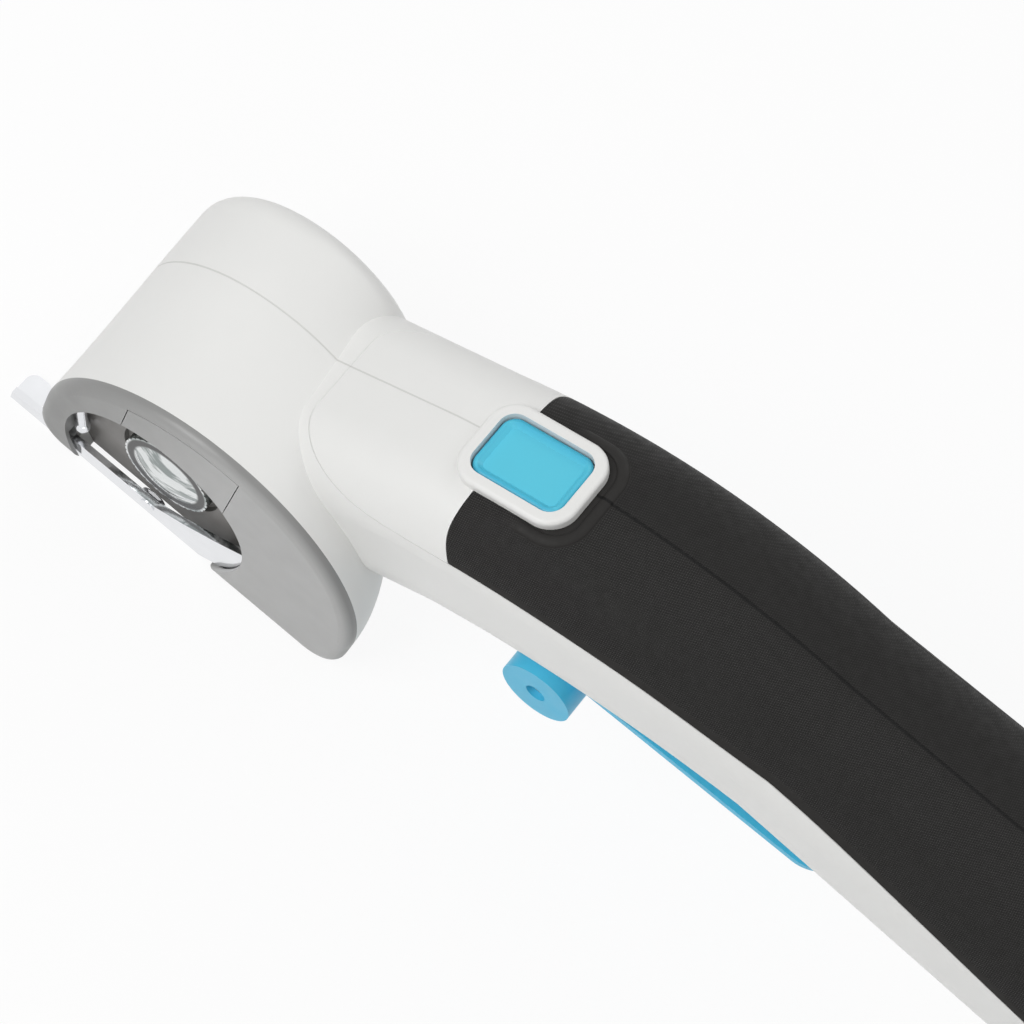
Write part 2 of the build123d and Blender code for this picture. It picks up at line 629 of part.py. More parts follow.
def make_gears():
    """Output gear on the drive shaft, two compound gears on fixed pins and the motor pinion."""
    hub_end = OUTPUT_Y + OUTPUT_FACE + HUB_LENGTH
    output = gear(DRIVE_AXIS, OUTPUT_TEETH, OUTPUT_MODULE, OUTPUT_STEP, OUTPUT_Y, OUTPUT_Y + OUTPUT_FACE)
    output += disc(DRIVE_AXIS, SHAFT_RADIUS + HUB_WALL, OUTPUT_Y, hub_end)
    parts["output_gear"] = output - disc(DRIVE_AXIS, SHAFT_RADIUS, OUTPUT_Y, hub_end)
    bore = GEAR_PIN_RADIUS + RUNNING_GAP
    second_end = SECOND_Y + SECOND_FACE
    phase = gap_phase(OUTPUT_STEP, SECOND_PINION_TEETH)
    second = gear(SECOND_AXIS, SECOND_TEETH, SECOND_MODULE, SECOND_STEP, SECOND_Y, second_end)
    second += gear(SECOND_AXIS, SECOND_PINION_TEETH, OUTPUT_MODULE, phase, OUTPUT_Y, SECOND_Y)
    parts["second_gear"] = second - disc(SECOND_AXIS, bore, OUTPUT_Y, second_end)
    first_end = FIRST_Y + FIRST_FACE
    phase = gap_phase(SECOND_STEP, FIRST_PINION_TEETH)
    first = gear(FIRST_AXIS, FIRST_TEETH, FIRST_MODULE, FIRST_STEP, FIRST_Y, first_end)
    first += gear(FIRST_AXIS, FIRST_PINION_TEETH, SECOND_MODULE, phase, SECOND_Y, FIRST_Y)
    parts["first_gear"] = first - disc(FIRST_AXIS, bore, SECOND_Y, first_end)
    near = FIRST_Y - AXIAL_GAP
    far = first_end + AXIAL_GAP
    phase = gap_phase(FIRST_STEP, MOTOR_TEETH)
    pinion = gear(MOTOR_AXIS, MOTOR_TEETH, FIRST_MODULE, phase, near, far)
    parts["motor_pinion"] = pinion - disc(MOTOR_AXIS, MOTOR_SHAFT_RADIUS, near, far)
    pin_near = LINER_Y + AXIAL_GAP
    parts["second_gear_pin"] = disc(SECOND_AXIS, GEAR_PIN_RADIUS, pin_near, FRAME_FAR_Y)
    parts["first_gear_pin"] = disc(FIRST_AXIS, GEAR_PIN_RADIUS, pin_near, FRAME_FAR_Y)


def make_frame_and_motor():
    """Plate that carries the far ends of the shafts, the motor on it and the screws of both."""
    spots = [DRIVE_AXIS, SECOND_AXIS, FIRST_AXIS] + BOSSES
    circles = [Pos(*spot) * Circle(FRAME_MARGIN) for spot in spots]
    circles.append(Pos(*MOTOR_AXIS) * Circle(MOTOR_RADIUS))
    outline = make_hull([edge for circle in circles for edge in circle.edges()])
    frame = slab(outline, FRAME_Y, FRAME_FAR_Y)
    frame -= disc(DRIVE_AXIS, BUSH_RADIUS, FRAME_Y, FRAME_FAR_Y)
    frame -= disc(MOTOR_AXIS, MOTOR_NECK_RADIUS, FRAME_Y, FRAME_FAR_Y)
    for axis in (SECOND_AXIS, FIRST_AXIS):
        frame -= disc(axis, GEAR_PIN_RADIUS, FRAME_Y, FRAME_FAR_Y)
    for boss in BOSSES:
        frame -= disc(boss, SCREW_RADIUS, FRAME_Y, FRAME_FAR_Y)
    hole_angles = (NECK_TILT + 90, NECK_TILT - 90)
    motor_holes = [step_from(MOTOR_AXIS, MOTOR_SCREW_SPACING, angle) for angle in hole_angles]
    for hole in motor_holes:
        frame -= disc(hole, SCREW_RADIUS, FRAME_Y, FRAME_FAR_Y)
    parts["gear_frame"] = frame & clear_room
    can_far = FRAME_FAR_Y + MOTOR_LENGTH
    motor = disc(MOTOR_AXIS, MOTOR_RADIUS, FRAME_FAR_Y, can_far)
    flats = Pos(*MOTOR_AXIS) * Rot(0, 0, NECK_TILT) * Rectangle(FAR_OUT, 2 * MOTOR_FLAT)
    motor = motor & slab(flats, FRAME_FAR_Y, can_far)
    motor += disc(MOTOR_AXIS, MOTOR_NECK_RADIUS, FRAME_Y, FRAME_FAR_Y)
    motor += disc(MOTOR_AXIS, MOTOR_NECK_RADIUS, can_far, can_far + FRAME_THICK)
    for hole in motor_holes:
        motor -= disc(hole, SCREW_RADIUS, FRAME_FAR_Y, FRAME_Y + SCREW_LENGTH)
    motor -= disc(MOTOR_AXIS, MOTOR_SHAFT_RADIUS + RUNNING_GAP, FRAME_Y, can_far)
    parts["motor"] = motor
    parts["motor_shaft"] = disc(MOTOR_AXIS, MOTOR_SHAFT_RADIUS, FIRST_Y - AXIAL_GAP, can_far - AXIAL_GAP)
    frame_screws = []
    for boss in BOSSES:
        screw = disc(boss, SCREW_RADIUS, FRAME_FAR_Y - SCREW_LENGTH, FRAME_FAR_Y)
        top = disc(boss, SCREW_HEAD_RADIUS, FRAME_FAR_Y, FRAME_FAR_Y + SCREW_HEAD_HEIGHT)
        frame_screws.append(screw + top)
    parts["frame_screws"] = Compound(frame_screws)
    motor_screws = []
    for hole in motor_holes:
        screw = disc(hole, SCREW_RADIUS, FRAME_Y, FRAME_Y + SCREW_LENGTH)
        top = disc(hole, MOTOR_SCREW_HEAD, FRAME_Y - MOTOR_SCREW_HEAD_HEIGHT, FRAME_Y)
        motor_screws.append(screw + top)
    parts["motor_screws"] = Compound(motor_screws)


def make_drive():
    """Toothed wheel with a domed cap, its shaft and two bushes."""
    back = WHEEL_FRONT_Y + WHEEL_THICK
    teeth = Pos(*DRIVE_AXIS) * Circle(WHEEL_RADIUS)
    wheel = slab(teeth, WHEEL_FRONT_Y, back)
    notch = Pos(WHEEL_RADIUS, 0) * Rot(0, 0, 45) * Rectangle(WHEEL_TOOTH, WHEEL_TOOTH)
    turns = [Rot(0, 0, 360 * k / WHEEL_TEETH) for k in range(WHEEL_TEETH)]
    notches = Sketch() + [Pos(*DRIVE_AXIS) * turn * notch for turn in turns]
    wheel -= slab(notches, WHEEL_FRONT_Y, back)
    curve = (DOME_RADIUS ** 2 + DOME_RISE ** 2) / (2 * DOME_RISE)
    ball = Pos(DRIVE_AXIS[0], WHEEL_FRONT_Y - DOME_RISE + curve, DRIVE_AXIS[1]) * Sphere(curve)
    wheel += ball & disc(DRIVE_AXIS, DOME_RADIUS, WHEEL_FRONT_Y - 2 * DOME_RISE, WHEEL_FRONT_Y)
    wheel -= disc(DRIVE_AXIS, SHAFT_RADIUS, WHEEL_FRONT_Y, back)
    parts["drive_wheel"] = wheel
    parts["drive_shaft"] = disc(DRIVE_AXIS, SHAFT_RADIUS, WHEEL_FRONT_Y, FRAME_FAR_Y + AXIAL_GAP)
    bore = SHAFT_RADIUS + RUNNING_GAP
    bush_near = LINER_Y + WHEEL_POCKET
    parts["front_bush"] = ring(DRIVE_AXIS, BUSH_RADIUS, bore, bush_near, LINER_FAR_Y + AXIAL_GAP)
    parts["rear_bush"] = ring(DRIVE_AXIS, BUSH_RADIUS, bore, FRAME_Y - AXIAL_GAP, FRAME_FAR_Y)


def make_arm():
    """Polished arm with a bent thumb tab, its pivot, and the cutter wheel on its rivet."""
    back = ARM_Y + ARM_THICK
    arm = slab(arm_outline(), ARM_Y, back)
    tab_middle = HEAD_FRONT - TAB_CLEAR - TAB_LENGTH / 2
    tab = Pos(tab_middle, ARM_Y + TAB_DEPTH / 2) * Rectangle(TAB_LENGTH, TAB_DEPTH)
    tab = fillet(tab.vertices().group_by(Axis.Y)[-1], TAB_ROUND)
    arm += extrude(tab, TAB_THICK)
    arm -= disc(ARM_PIVOT, ARM_PIN_RADIUS + RUNNING_GAP, ARM_Y, back)
    arm -= disc(CUTTER_AXIS, CUTTER_PIN_RADIUS, ARM_Y, back)
    parts["cutter_arm"] = arm
    parts["arm_pivot"] = disc(ARM_PIVOT, ARM_PIN_RADIUS, ARM_Y, LINER_FAR_Y)
    near = back + CUTTER_SPACE
    far = near + CUTTER_THICK
    rivet = disc(CUTTER_AXIS, CUTTER_PIN_RADIUS, ARM_Y, far + CUTTER_SPACE)
    rivet += disc(CUTTER_AXIS, CUTTER_PIN_HEAD, ARM_Y - RIVET_HEAD, ARM_Y)
    parts["cutter_rivet"] = rivet
    cutter = disc(CUTTER_AXIS, CUTTER_RADIUS, near, far)
    cutter = chamfer(cutter.edges().group_by(Axis.Y)[0], CUTTER_BEVEL, CUTTER_EDGE)
    cutter -= disc(CUTTER_AXIS, CUTTER_PIN_RADIUS + RUNNING_GAP, near, far)
    parts["cutter_wheel"] = cutter


def make_lever():
    """Blue lever: two round knuckles on a pin and a long blade that runs back from their tops."""
    inner = LEVER_LUG_HALF_WIDTH + LEVER_SIDE_GAP
    top = step_from(LEVER_AXIS, LEVER_KNUCKLE_RADIUS, LEVER_TILT + 90)
    turn = math.radians(LEVER_TILT)
    blade_plane = Plane(origin=(top[0], 0, top[1]), x_dir=(math.cos(turn), 0, math.sin(turn)),
                        z_dir=(-math.sin(turn), 0, math.cos(turn)))
    outline = Pos(LEVER_LENGTH / 2, 0) * Rectangle(LEVER_LENGTH, 2 * BLADE_HALF_WIDTH)
    outline = fillet(outline.vertices().group_by(Axis.X)[-1], LEVER_TIP_RADIUS)
    blade = extrude(blade_plane.offset(-LEVER_THICK) * outline, LEVER_THICK)
    low_face = blade.faces().sort_by(Axis((0, 0, 0), blade_plane.z_dir))[0]
    tip_edges = low_face.edges().filter_by(lambda edge: edge.center().X > LEVER_AXIS[0] + LEVER_TIP_RADIUS)
    blade = fillet(tip_edges, LEVER_EDGE)
    lever = blade + disc(LEVER_AXIS, LEVER_KNUCKLE_RADIUS, -LEVER_HALF_WIDTH, LEVER_HALF_WIDTH)
    notch_right = LEVER_AXIS[0] + LUG_RADIUS + LEVER_SWING_GAP
    notch = Pos(notch_right - FAR_OUT / 2, LEVER_AXIS[1]) * Rectangle(FAR_OUT, FAR_OUT)
    lever -= slab(notch, -inner, inner)
    lever -= disc(LEVER_AXIS, LEVER_PIN_RADIUS + RUNNING_GAP, -LEVER_HALF_WIDTH, LEVER_HALF_WIDTH)
    parts["squeeze_lever"] = lever
    pin_half = LEVER_HALF_WIDTH - LEVER_PIN_SHY
    parts["lever_pin"] = disc(LEVER_AXIS, LEVER_PIN_RADIUS, -pin_half, pin_half)


def make_door():
    """Tail door with its contact plate, which swings down on a pin under the tail."""
    door = extrude(spine_face(TAIL_PLANE, TAIL_SIZE), DOOR_THICK)
    door = fillet(door.faces().sort_by(Axis((0, 0, 0), TAIL_PLANE.z_dir))[-1].edges(), DOOR_ROUND)
    door -= knuckle_room(DOOR_KNUCKLE_HALF, DOOR_HINGE_HALF)
    knuckle = disc(DOOR_AXIS, DOOR_KNUCKLE, -DOOR_KNUCKLE_HALF, DOOR_KNUCKLE_HALF)
    door += knuckle
    door -= disc(DOOR_AXIS, DOOR_PIN_RADIUS + RUNNING_GAP, -DOOR_HINGE_HALF, DOOR_HINGE_HALF)
    parts["battery_door"] = door
    parts["door_pin"] = disc(DOOR_AXIS, DOOR_PIN_RADIUS, -DOOR_HINGE_HALF, DOOR_HINGE_HALF)
    strip = Rectangle(CELL_SPACING + CELL_RADIUS, CELL_RADIUS)
    plate = extrude(TAIL_PLANE.offset(-CONTACT_THICK) * strip, CONTACT_THICK)
    for spot in TAIL_PLANE.offset(-DOOR_BUMP) * GridLocations(CELL_SPACING, 1, 2, 1):
        plate += extrude(spot * Circle(NUB_RADIUS), DOOR_BUMP)
    parts["door_contact"] = plate


make_housing()
make_face_plate()
make_liner()
make_gears()
make_frame_and_motor()
make_drive()
make_arm()
make_lever()
make_door()

os.makedirs("parts", exist_ok=True)
for name, part in parts.items():
    print(name, part.is_valid, round(part.volume, 1), len(part.solids()))
    export_step(part, "parts/" + name + ".step")
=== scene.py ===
import json
import math
import statistics

import bmesh
import bpy
from mathutils import Matrix, Vector
from mathutils.bvhtree import BVHTree


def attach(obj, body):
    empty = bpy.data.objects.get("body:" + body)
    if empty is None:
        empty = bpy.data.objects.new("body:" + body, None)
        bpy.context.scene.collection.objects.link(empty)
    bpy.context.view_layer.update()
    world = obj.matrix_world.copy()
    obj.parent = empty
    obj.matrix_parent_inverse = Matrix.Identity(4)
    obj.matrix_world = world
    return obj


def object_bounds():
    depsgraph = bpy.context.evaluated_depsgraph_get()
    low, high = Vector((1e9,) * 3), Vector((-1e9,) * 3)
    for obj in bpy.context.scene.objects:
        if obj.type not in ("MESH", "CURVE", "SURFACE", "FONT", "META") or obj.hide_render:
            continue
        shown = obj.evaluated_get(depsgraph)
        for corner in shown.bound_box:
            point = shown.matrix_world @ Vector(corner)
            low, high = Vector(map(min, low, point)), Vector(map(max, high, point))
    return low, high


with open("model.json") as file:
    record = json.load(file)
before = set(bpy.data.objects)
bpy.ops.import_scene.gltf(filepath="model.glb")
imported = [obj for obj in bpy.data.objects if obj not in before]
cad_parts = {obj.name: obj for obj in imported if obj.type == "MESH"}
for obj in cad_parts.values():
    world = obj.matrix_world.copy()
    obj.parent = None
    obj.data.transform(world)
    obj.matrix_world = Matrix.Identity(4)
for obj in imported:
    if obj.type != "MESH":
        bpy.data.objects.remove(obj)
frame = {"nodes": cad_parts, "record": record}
cad_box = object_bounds()
nodes = frame["nodes"]

# Lengths are in millimetres, and MM turns them into the frame's metres
MM = 0.001

# Camera: seen from above on the face plate's side, rolled so that the handle runs down to the right.
# AIM_POINT of the object lies at AIM_PIXEL of the image.
IMAGE_SIZE = 1024
PIXELS_PER_MM = 5.0
VIEW_DISTANCE = 750.0
VIEW_ELEVATION = math.radians(68.0)
VIEW_ROLL = math.radians(40.0)
AIM_POINT = Vector((0.0, -30.0, 20.5))
AIM_PIXEL = (205.0, 520.0)
SENSOR = 36.0
CLIP_START = 10.0
CLIP_END = 20000.0

# Plane where the two body halves meet
SPLIT_Y = 2.0

# Seam under the grip in the side view, as places along the body with their heights, and the height that its
# curve is scaled by
SEAM = [(0.0, 51.54), (43.0, 67.0), (56.0, 73.2), (70.0, 78.2), (84.0, 81.8), (98.0, 83.8), (116.0, 84.8),
        (134.0, 84.4), (160.0, 82.8), (215.0, 79.0)]
SEAM_REACH = SEAM[-1][0]
SEAM_HEIGHT = 120.0

# Slope of the button, and the half sizes and corner radius of the bezel round it
BUTTON_TILT = math.radians(24.0)
BUTTON_ALONG = Vector((math.cos(BUTTON_TILT), 0.0, math.sin(BUTTON_TILT)))
BUTTON_NORMAL = Vector((-math.sin(BUTTON_TILT), 0.0, math.cos(BUTTON_TILT)))
BEZEL_HALF = (14.2, 10.2)
BEZEL_CORNER = 5.0

# Raised band of rubber round the back of the bezel: where it starts along the button, its gap to the bezel,
# its width and height, how deep its foot and its edges lie in the grip, and how long its fading ends are
LIP_START = 1.0
LIP_GAP = 0.15
LIP_WIDTH = 2.6
LIP_HEIGHT = 0.55
LIP_SINK = 0.4
LIP_EDGE = 0.04
LIP_FADE = 5.0

# The band's step along its path, its points across, the rows to each side that smooth it, and how far above
# the bezel's middle the rays start that find the grip's surface
LIP_STEP = 0.5
LIP_ACROSS = 9
LIP_WINDOW = 3
RAY_HEIGHT = 20.0

# Colours, as linear light
WHITE = (0.79, 0.79, 0.775)
WHITE_GROOVE = (0.62, 0.62, 0.6)
RUBBER_DARK = (0.0062, 0.0058, 0.0054)
RUBBER_PALE = (0.0095, 0.009, 0.0085)
RUBBER_PLAIN = (0.019, 0.018, 0.017)
RUBBER_JOINT = (0.002, 0.002, 0.002)
RUBBER_TIP_HIGHLIGHT = (0.075, 0.073, 0.071)
LEVER_BLUE = (0.06, 0.49, 0.74)
BUTTON_BLUE = (0.125, 0.63, 0.78)
BUTTON_RIM_SHADE_BLUE = (0.05, 0.45, 0.64)
PLATE_GREY = (0.35, 0.35, 0.345)
PLATE_FRONT_SHADE_GREY = (0.24, 0.24, 0.236)
PLATE_RIM_SHADE_GREY = (0.25, 0.25, 0.246)
LINER_GREY = (0.19, 0.182, 0.173)
WHEEL_STEEL = (0.74, 0.76, 0.76)
WHEEL_REFLECTION_STREAK = (0.3, 0.33, 0.325)
WHEEL_SHADE_RING = (0.03, 0.03, 0.03)
PURE_WHITE = (1.0, 1.0, 1.0)
FLOOR_WHITE = (0.86, 0.86, 0.86)

# Plastics and metals that need no more than their colour and roughness, by material slot
PLAIN_PLASTICS = {
    "gear_nylon": ((0.76, 0.74, 0.66), 0.45),
    "black_plastic": ((0.03, 0.03, 0.03), 0.42),
    "cell_wrap": ((0.2, 0.22, 0.25), 0.25),
}
PLAIN_METALS = {
    "polished_steel": ((0.78, 0.79, 0.81), 0.12),
    "plain_steel": ((0.56, 0.56, 0.57), 0.3),
    "bush_brass": ((0.72, 0.52, 0.22), 0.28),
    "contact_nickel": ((0.64, 0.62, 0.58), 0.25),
}


def add_camera():
    out = Vector((0.0, -math.cos(VIEW_ELEVATION), math.sin(VIEW_ELEVATION)))
    level = Vector((1.0, 0.0, 0.0))
    rise = out.cross(level)
    right = level * math.cos(VIEW_ROLL) + rise * math.sin(VIEW_ROLL)
    up = rise * math.cos(VIEW_ROLL) - level * math.sin(VIEW_ROLL)
    across = (IMAGE_SIZE / 2 - AIM_PIXEL[0]) / PIXELS_PER_MM
    above = (AIM_PIXEL[1] - IMAGE_SIZE / 2) / PIXELS_PER_MM
    place = AIM_POINT + out * VIEW_DISTANCE + right * across + up * above
    data = bpy.data.cameras.new("camera")
    data.sensor_width = SENSOR
    data.lens = PIXELS_PER_MM * VIEW_DISTANCE / IMAGE_SIZE * SENSOR
    data.clip_start = CLIP_START * MM
    data.clip_end = CLIP_END * MM
    camera = bpy.data.objects.new("camera", data)
    turn = Matrix((right, up, out)).transposed().to_4x4()
    camera.matrix_world = Matrix.Translation(place * MM) @ turn
    bpy.context.scene.collection.objects.link(camera)
    bpy.context.scene.camera = camera


class Tree:
    """Short names for building a node tree."""

    def __init__(self, tree):
        self.tree = tree

    def add(self, kind, **values):
        node = self.tree.nodes.new(kind)
        for key, value in values.items():
            setattr(node, key, value)
        return node

    def link(self, source, target):
        self.tree.links.new(source, target)

    def put(self, socket, value):
        """Feed a socket from another one, or set it to a plain value."""
        if isinstance(value, bpy.types.NodeSocket):
            self.link(value, socket)
        else:
            socket.default_value = value

    def math(self, operation, *values):
        node = self.add("ShaderNodeMath", operation=operation)
        for socket, value in zip(node.inputs, values):
            self.put(socket, value)
        return node.outputs[0]

    def minus(self, first, second):
        return self.math("SUBTRACT", first, second)

    def times(self, first, second):
        return self.math("MULTIPLY", first, second)

    def axes(self, vector):
        node = self.add("ShaderNodeSeparateXYZ")
        self.link(vector, node.inputs[0])
        return node.outputs[0], node.outputs[1], node.outputs[2]

    def range(self, value, low, high, to_low=0.0, to_high=1.0):
        """Stretch the span from low to high over another one, and hold the value at its ends."""
        node = self.add("ShaderNodeMapRange")
        self.link(value, node.inputs["Value"])
        node.inputs["From Min"].default_value = low
        node.inputs["From Max"].default_value = high
        node.inputs["To Min"].default_value = to_low
        node.inputs["To Max"].default_value = to_high
        return node.outputs[0]

    def shows_background(self):
        """One for rays from the camera and for those that metal or glass sends on."""
        path = self.add("ShaderNodeLightPath")
        sent_on = self.math("MAXIMUM", path.outputs["Is Glossy Ray"], path.outputs["Is Transmission Ray"])
        return self.math("MAXIMUM", path.outputs["Is Camera Ray"], sent_on)


class Look(Tree):
    """A material made round one shader, painted by places on the object."""

    def __init__(self, name):
        self.material = bpy.data.materials.new(name)
        self.material.use_nodes = True
        super().__init__(self.material.node_tree)
        self.tree.nodes.clear()
        output = self.add("ShaderNodeOutputMaterial")
        self.shader = self.add("ShaderNodeBsdfPrincipled")
        self.link(self.shader.outputs[0], output.inputs["Surface"])
        self.coords = self.add("ShaderNodeTexCoord").outputs["Object"]

    def set(self, **values):
        """Feed the shader's inputs, with underscores for the spaces in their names."""
        for key, value in values.items():
            self.put(self.shader.inputs[key.replace("_", " ")], value)

    def now(self, name):
        """What feeds an input of the shader so far."""
        return self.shader.inputs[name].links[0].from_socket

    def xyz(self):
        return self.axes(self.coords)

    def ramp(self, length, low, high, to_low=0.0, to_high=1.0):
        """As range, for a length in metres and a span in millimetres."""
        return self.range(length, low * MM, high * MM, to_low, to_high)

    def stretched(self, scale, turn=(0.0, 0.0, 0.0)):
        node = self.add("ShaderNodeMapping")
        self.link(self.coords, node.inputs["Vector"])
        node.inputs["Scale"].default_value = scale
        node.inputs["Rotation"].default_value = turn
        return node.outputs[0]

    def noise(self, size, detail, roughness=0.5, vector=None):
        node = self.add("ShaderNodeTexNoise")
        self.link(vector or self.coords, node.inputs["Vector"])
        node.inputs["Scale"].default_value = 1.0 / (size * MM)
        node.inputs["Detail"].default_value = detail
        node.inputs["Roughness"].default_value = roughness
        return node.outputs["Fac"]

    def mix(self, share, first, second):
        node = self.add("ShaderNodeMix", data_type="RGBA")
        share_input, first_input, second_input = node.inputs[0], node.inputs[6], node.inputs[7]
        self.put(share_input, share)
        self.put(first_input, first)
        self.put(second_input, second)
        return node.outputs[2]

    def bump(self, height, depth, after=None):
        """A relief of this depth in millimetres, on top of another one where after gives it."""
        node = self.add("ShaderNodeBump")
        self.link(height, node.inputs["Height"])
        node.inputs["Distance"].default_value = depth * MM
        node.inputs["Strength"].default_value = 1.0
        if after:
            self.link(after, node.inputs["Normal"])
        return node.outputs[0]


def tint(colour, factor=1.0):
    return (colour[0] * factor, colour[1] * factor, colour[2] * factor, 1.0)


# Most of a noise lies between these values
NOISE_LOW = 0.3
NOISE_HIGH = 0.7

# Mouldings: size of the cloudiness and of the rubbed patches, and how far these change the roughness
CLOUD_SIZE = 14.0
PATCH_SIZE = 5.0
PATCH_POLISH = 0.05
PATCH_DULL = 0.06


def moulded(name, colour, roughness, grain=0.35, depth=0.012, variation=0.06):
    """Moulded plastic: faint cloudiness, a fine spark-eroded grain and rubbed patches in its gloss."""
    m = Look(name)
    cloud = m.noise(CLOUD_SIZE, detail=3.0)
    m.set(Base_Color=m.mix(cloud, tint(colour, 1 - variation), tint(colour, 1 + variation)))
    patches = m.noise(PATCH_SIZE, detail=4.0)
    m.set(Roughness=m.range(patches, NOISE_LOW, NOISE_HIGH, roughness - PATCH_POLISH, roughness + PATCH_DULL))
    m.set(Normal=m.bump(m.noise(grain, detail=3.0, roughness=0.6), depth))
    return m


# Metals: size, stretch and depth of the drawn lines, how far these change the roughness, and the cloudiness
LINE_SIZE = 1.4
LINE_STRETCH = (1.0, 1.0, 14.0)
LINE_DEPTH = 0.004
LINE_POLISH = 0.75
LINE_DULL = 1.3
METAL_CLOUD_SIZE = 6.0
METAL_VARIATION = 0.06


def metal(name, colour, roughness, stretch=LINE_STRETCH):
    """Metal with lines drawn in one direction, which break its gloss, and a cloudy tone."""
    m = Look(name)
    lines = m.noise(LINE_SIZE, detail=4.0, roughness=0.65, vector=m.stretched(stretch))
    cloud = m.noise(METAL_CLOUD_SIZE, detail=3.0)
    m.set(Metallic=1.0)
    m.set(Base_Color=m.mix(cloud, tint(colour, 1 - METAL_VARIATION), tint(colour, 1 + METAL_VARIATION)))
    m.set(Roughness=m.range(lines, NOISE_LOW, NOISE_HIGH, roughness * LINE_POLISH, roughness * LINE_DULL))
    m.set(Normal=m.bump(lines, LINE_DEPTH))
    return m


# Groove where the halves meet: the share of its half width that is flat, and its half width and depth in the
# white shell
GROOVE_FLAT = 0.25
SHELL_GROOVE = 0.26
SHELL_GROOVE_DEPTH = 0.06


def parting_line(m, half_width):
    """Nought on the plane where the two body halves meet, one away from it."""
    across = m.math("ABSOLUTE", m.minus(m.xyz()[1], SPLIT_Y * MM))
    return m.ramp(across, GROOVE_FLAT * half_width, half_width)


def white_shell(name="white_shell", parted=True):
    """White moulding, with the groove of the parting line where a piece crosses it."""
    m = moulded(name, WHITE, roughness=0.42, variation=0.012)
    if parted:
        groove = parting_line(m, SHELL_GROOVE)
        m.set(Base_Color=m.mix(groove, tint(WHITE_GROOVE), m.now("Base Color")))
        m.set(Normal=m.bump(groove, SHELL_GROOVE_DEPTH, after=m.now("Normal")))
    return m.material


def above_seam(m, x, z):
    """Height over the seam under the grip."""
    seam = m.add("ShaderNodeFloatCurve")
    m.link(m.ramp(x, 0.0, SEAM_REACH), seam.inputs["Value"])
    points = seam.mapping.curves[0].points
    first, *between, last = [(place / SEAM_REACH, height / SEAM_HEIGHT) for place, height in SEAM]
    points[0].location = first
    points[1].location = last
    for place, height in between:
        points.new(place, height)
    seam.mapping.update()
    return m.minus(z, m.times(seam.outputs[0], SEAM_HEIGHT * MM))


def middle_of(node):
    corners = [Vector(c) for c in nodes[node].bound_box]
    return sum(corners, Vector()) / len(corners)


def from_bezel(m, x, y, z):
    """Distance outside the bezel's rounded outline, and how far back along the button's slope."""
    middle = middle_of("button_bezel")
    along = m.times(m.minus(x, middle.x), BUTTON_ALONG.x)
    along = m.math("MULTIPLY_ADD", m.minus(z, middle.z), BUTTON_ALONG.z, along)
    squares = []
    for value, half in zip((along, y), BEZEL_HALF):
        beyond = m.minus(m.math("ABSOLUTE", value), (half - BEZEL_CORNER) * MM)
        beyond = m.math("MAXIMUM", beyond, 0.0)
        squares.append(m.times(beyond, beyond))
    away = m.math("SQRT", m.math("ADD", *squares))
    return m.minus(away, BEZEL_CORNER * MM), along


# Knurl of the rubber: its pitch, how far height counts as distance across, the shares of the ways along and
# across in its two sets of waves, the power that sharpens its tips, and its depth
KNURL_PITCH = 0.95
KNURL_RISE = 0.8
KNURL_WAYS = ((0.6, 1.0), (1.5, -0.7))
KNURL_POWER = 3.0
KNURL_DEPTH = 0.2

# Plain rubber: the heights over the seam where it starts to end and where the knurl is whole, the step
# between them, and the width over which it ends beside the lip
PLAIN_END = 1.5
KNURL_WHOLE = 2.1
PLAIN_STEP = 0.25
LIP_BLEND = 0.3

# Between these places across the joint the knurl and the painted highlight on its tips fade to a share of
# their strength
NEAR_Y = -1.0
FAR_Y = 3.0
FAR_SHARE = 0.3

# Half width and depth of the rubber's joint, the sizes of its cloudiness, patches and grain, the depth of the
# grain and the span of its roughness
RUBBER_GROOVE = 0.42
RUBBER_GROOVE_DEPTH = 0.3
RUBBER_CLOUD_SIZE = 9.0
RUBBER_PATCH_SIZE = 2.0
RUBBER_GRAIN_SIZE = 0.3
RUBBER_GRAIN_DEPTH = 0.015
RUBBER_ROUGHNESS = (0.54, 0.68)


def knurl_height(m, x, y, z):
    """Two sets of crossing waves, from nought in the grooves to one on the tips."""
    across = m.math("MULTIPLY_ADD", z, KNURL_RISE, y)
    waves = []
    for share_along, share_across in KNURL_WAYS:
        way = m.math("MULTIPLY_ADD", x, share_along, m.times(across, share_across))
        waves.append(m.math("SINE", m.times(way, 2 * math.pi / (KNURL_PITCH * MM))))
    return m.math("MULTIPLY_ADD", m.times(*waves), 0.5, 0.5)


def lip_area(m, x, y, z):
    """One on the lip round the back of the bezel, nought elsewhere."""
    away, along = from_bezel(m, x, y, z)
    outer = LIP_GAP + LIP_WIDTH
    outside = m.ramp(away, outer, outer + LIP_BLEND)
    behind = m.ramp(along, LIP_START, LIP_START + LIP_FADE)
    return m.times(m.minus(1.0, outside), behind)


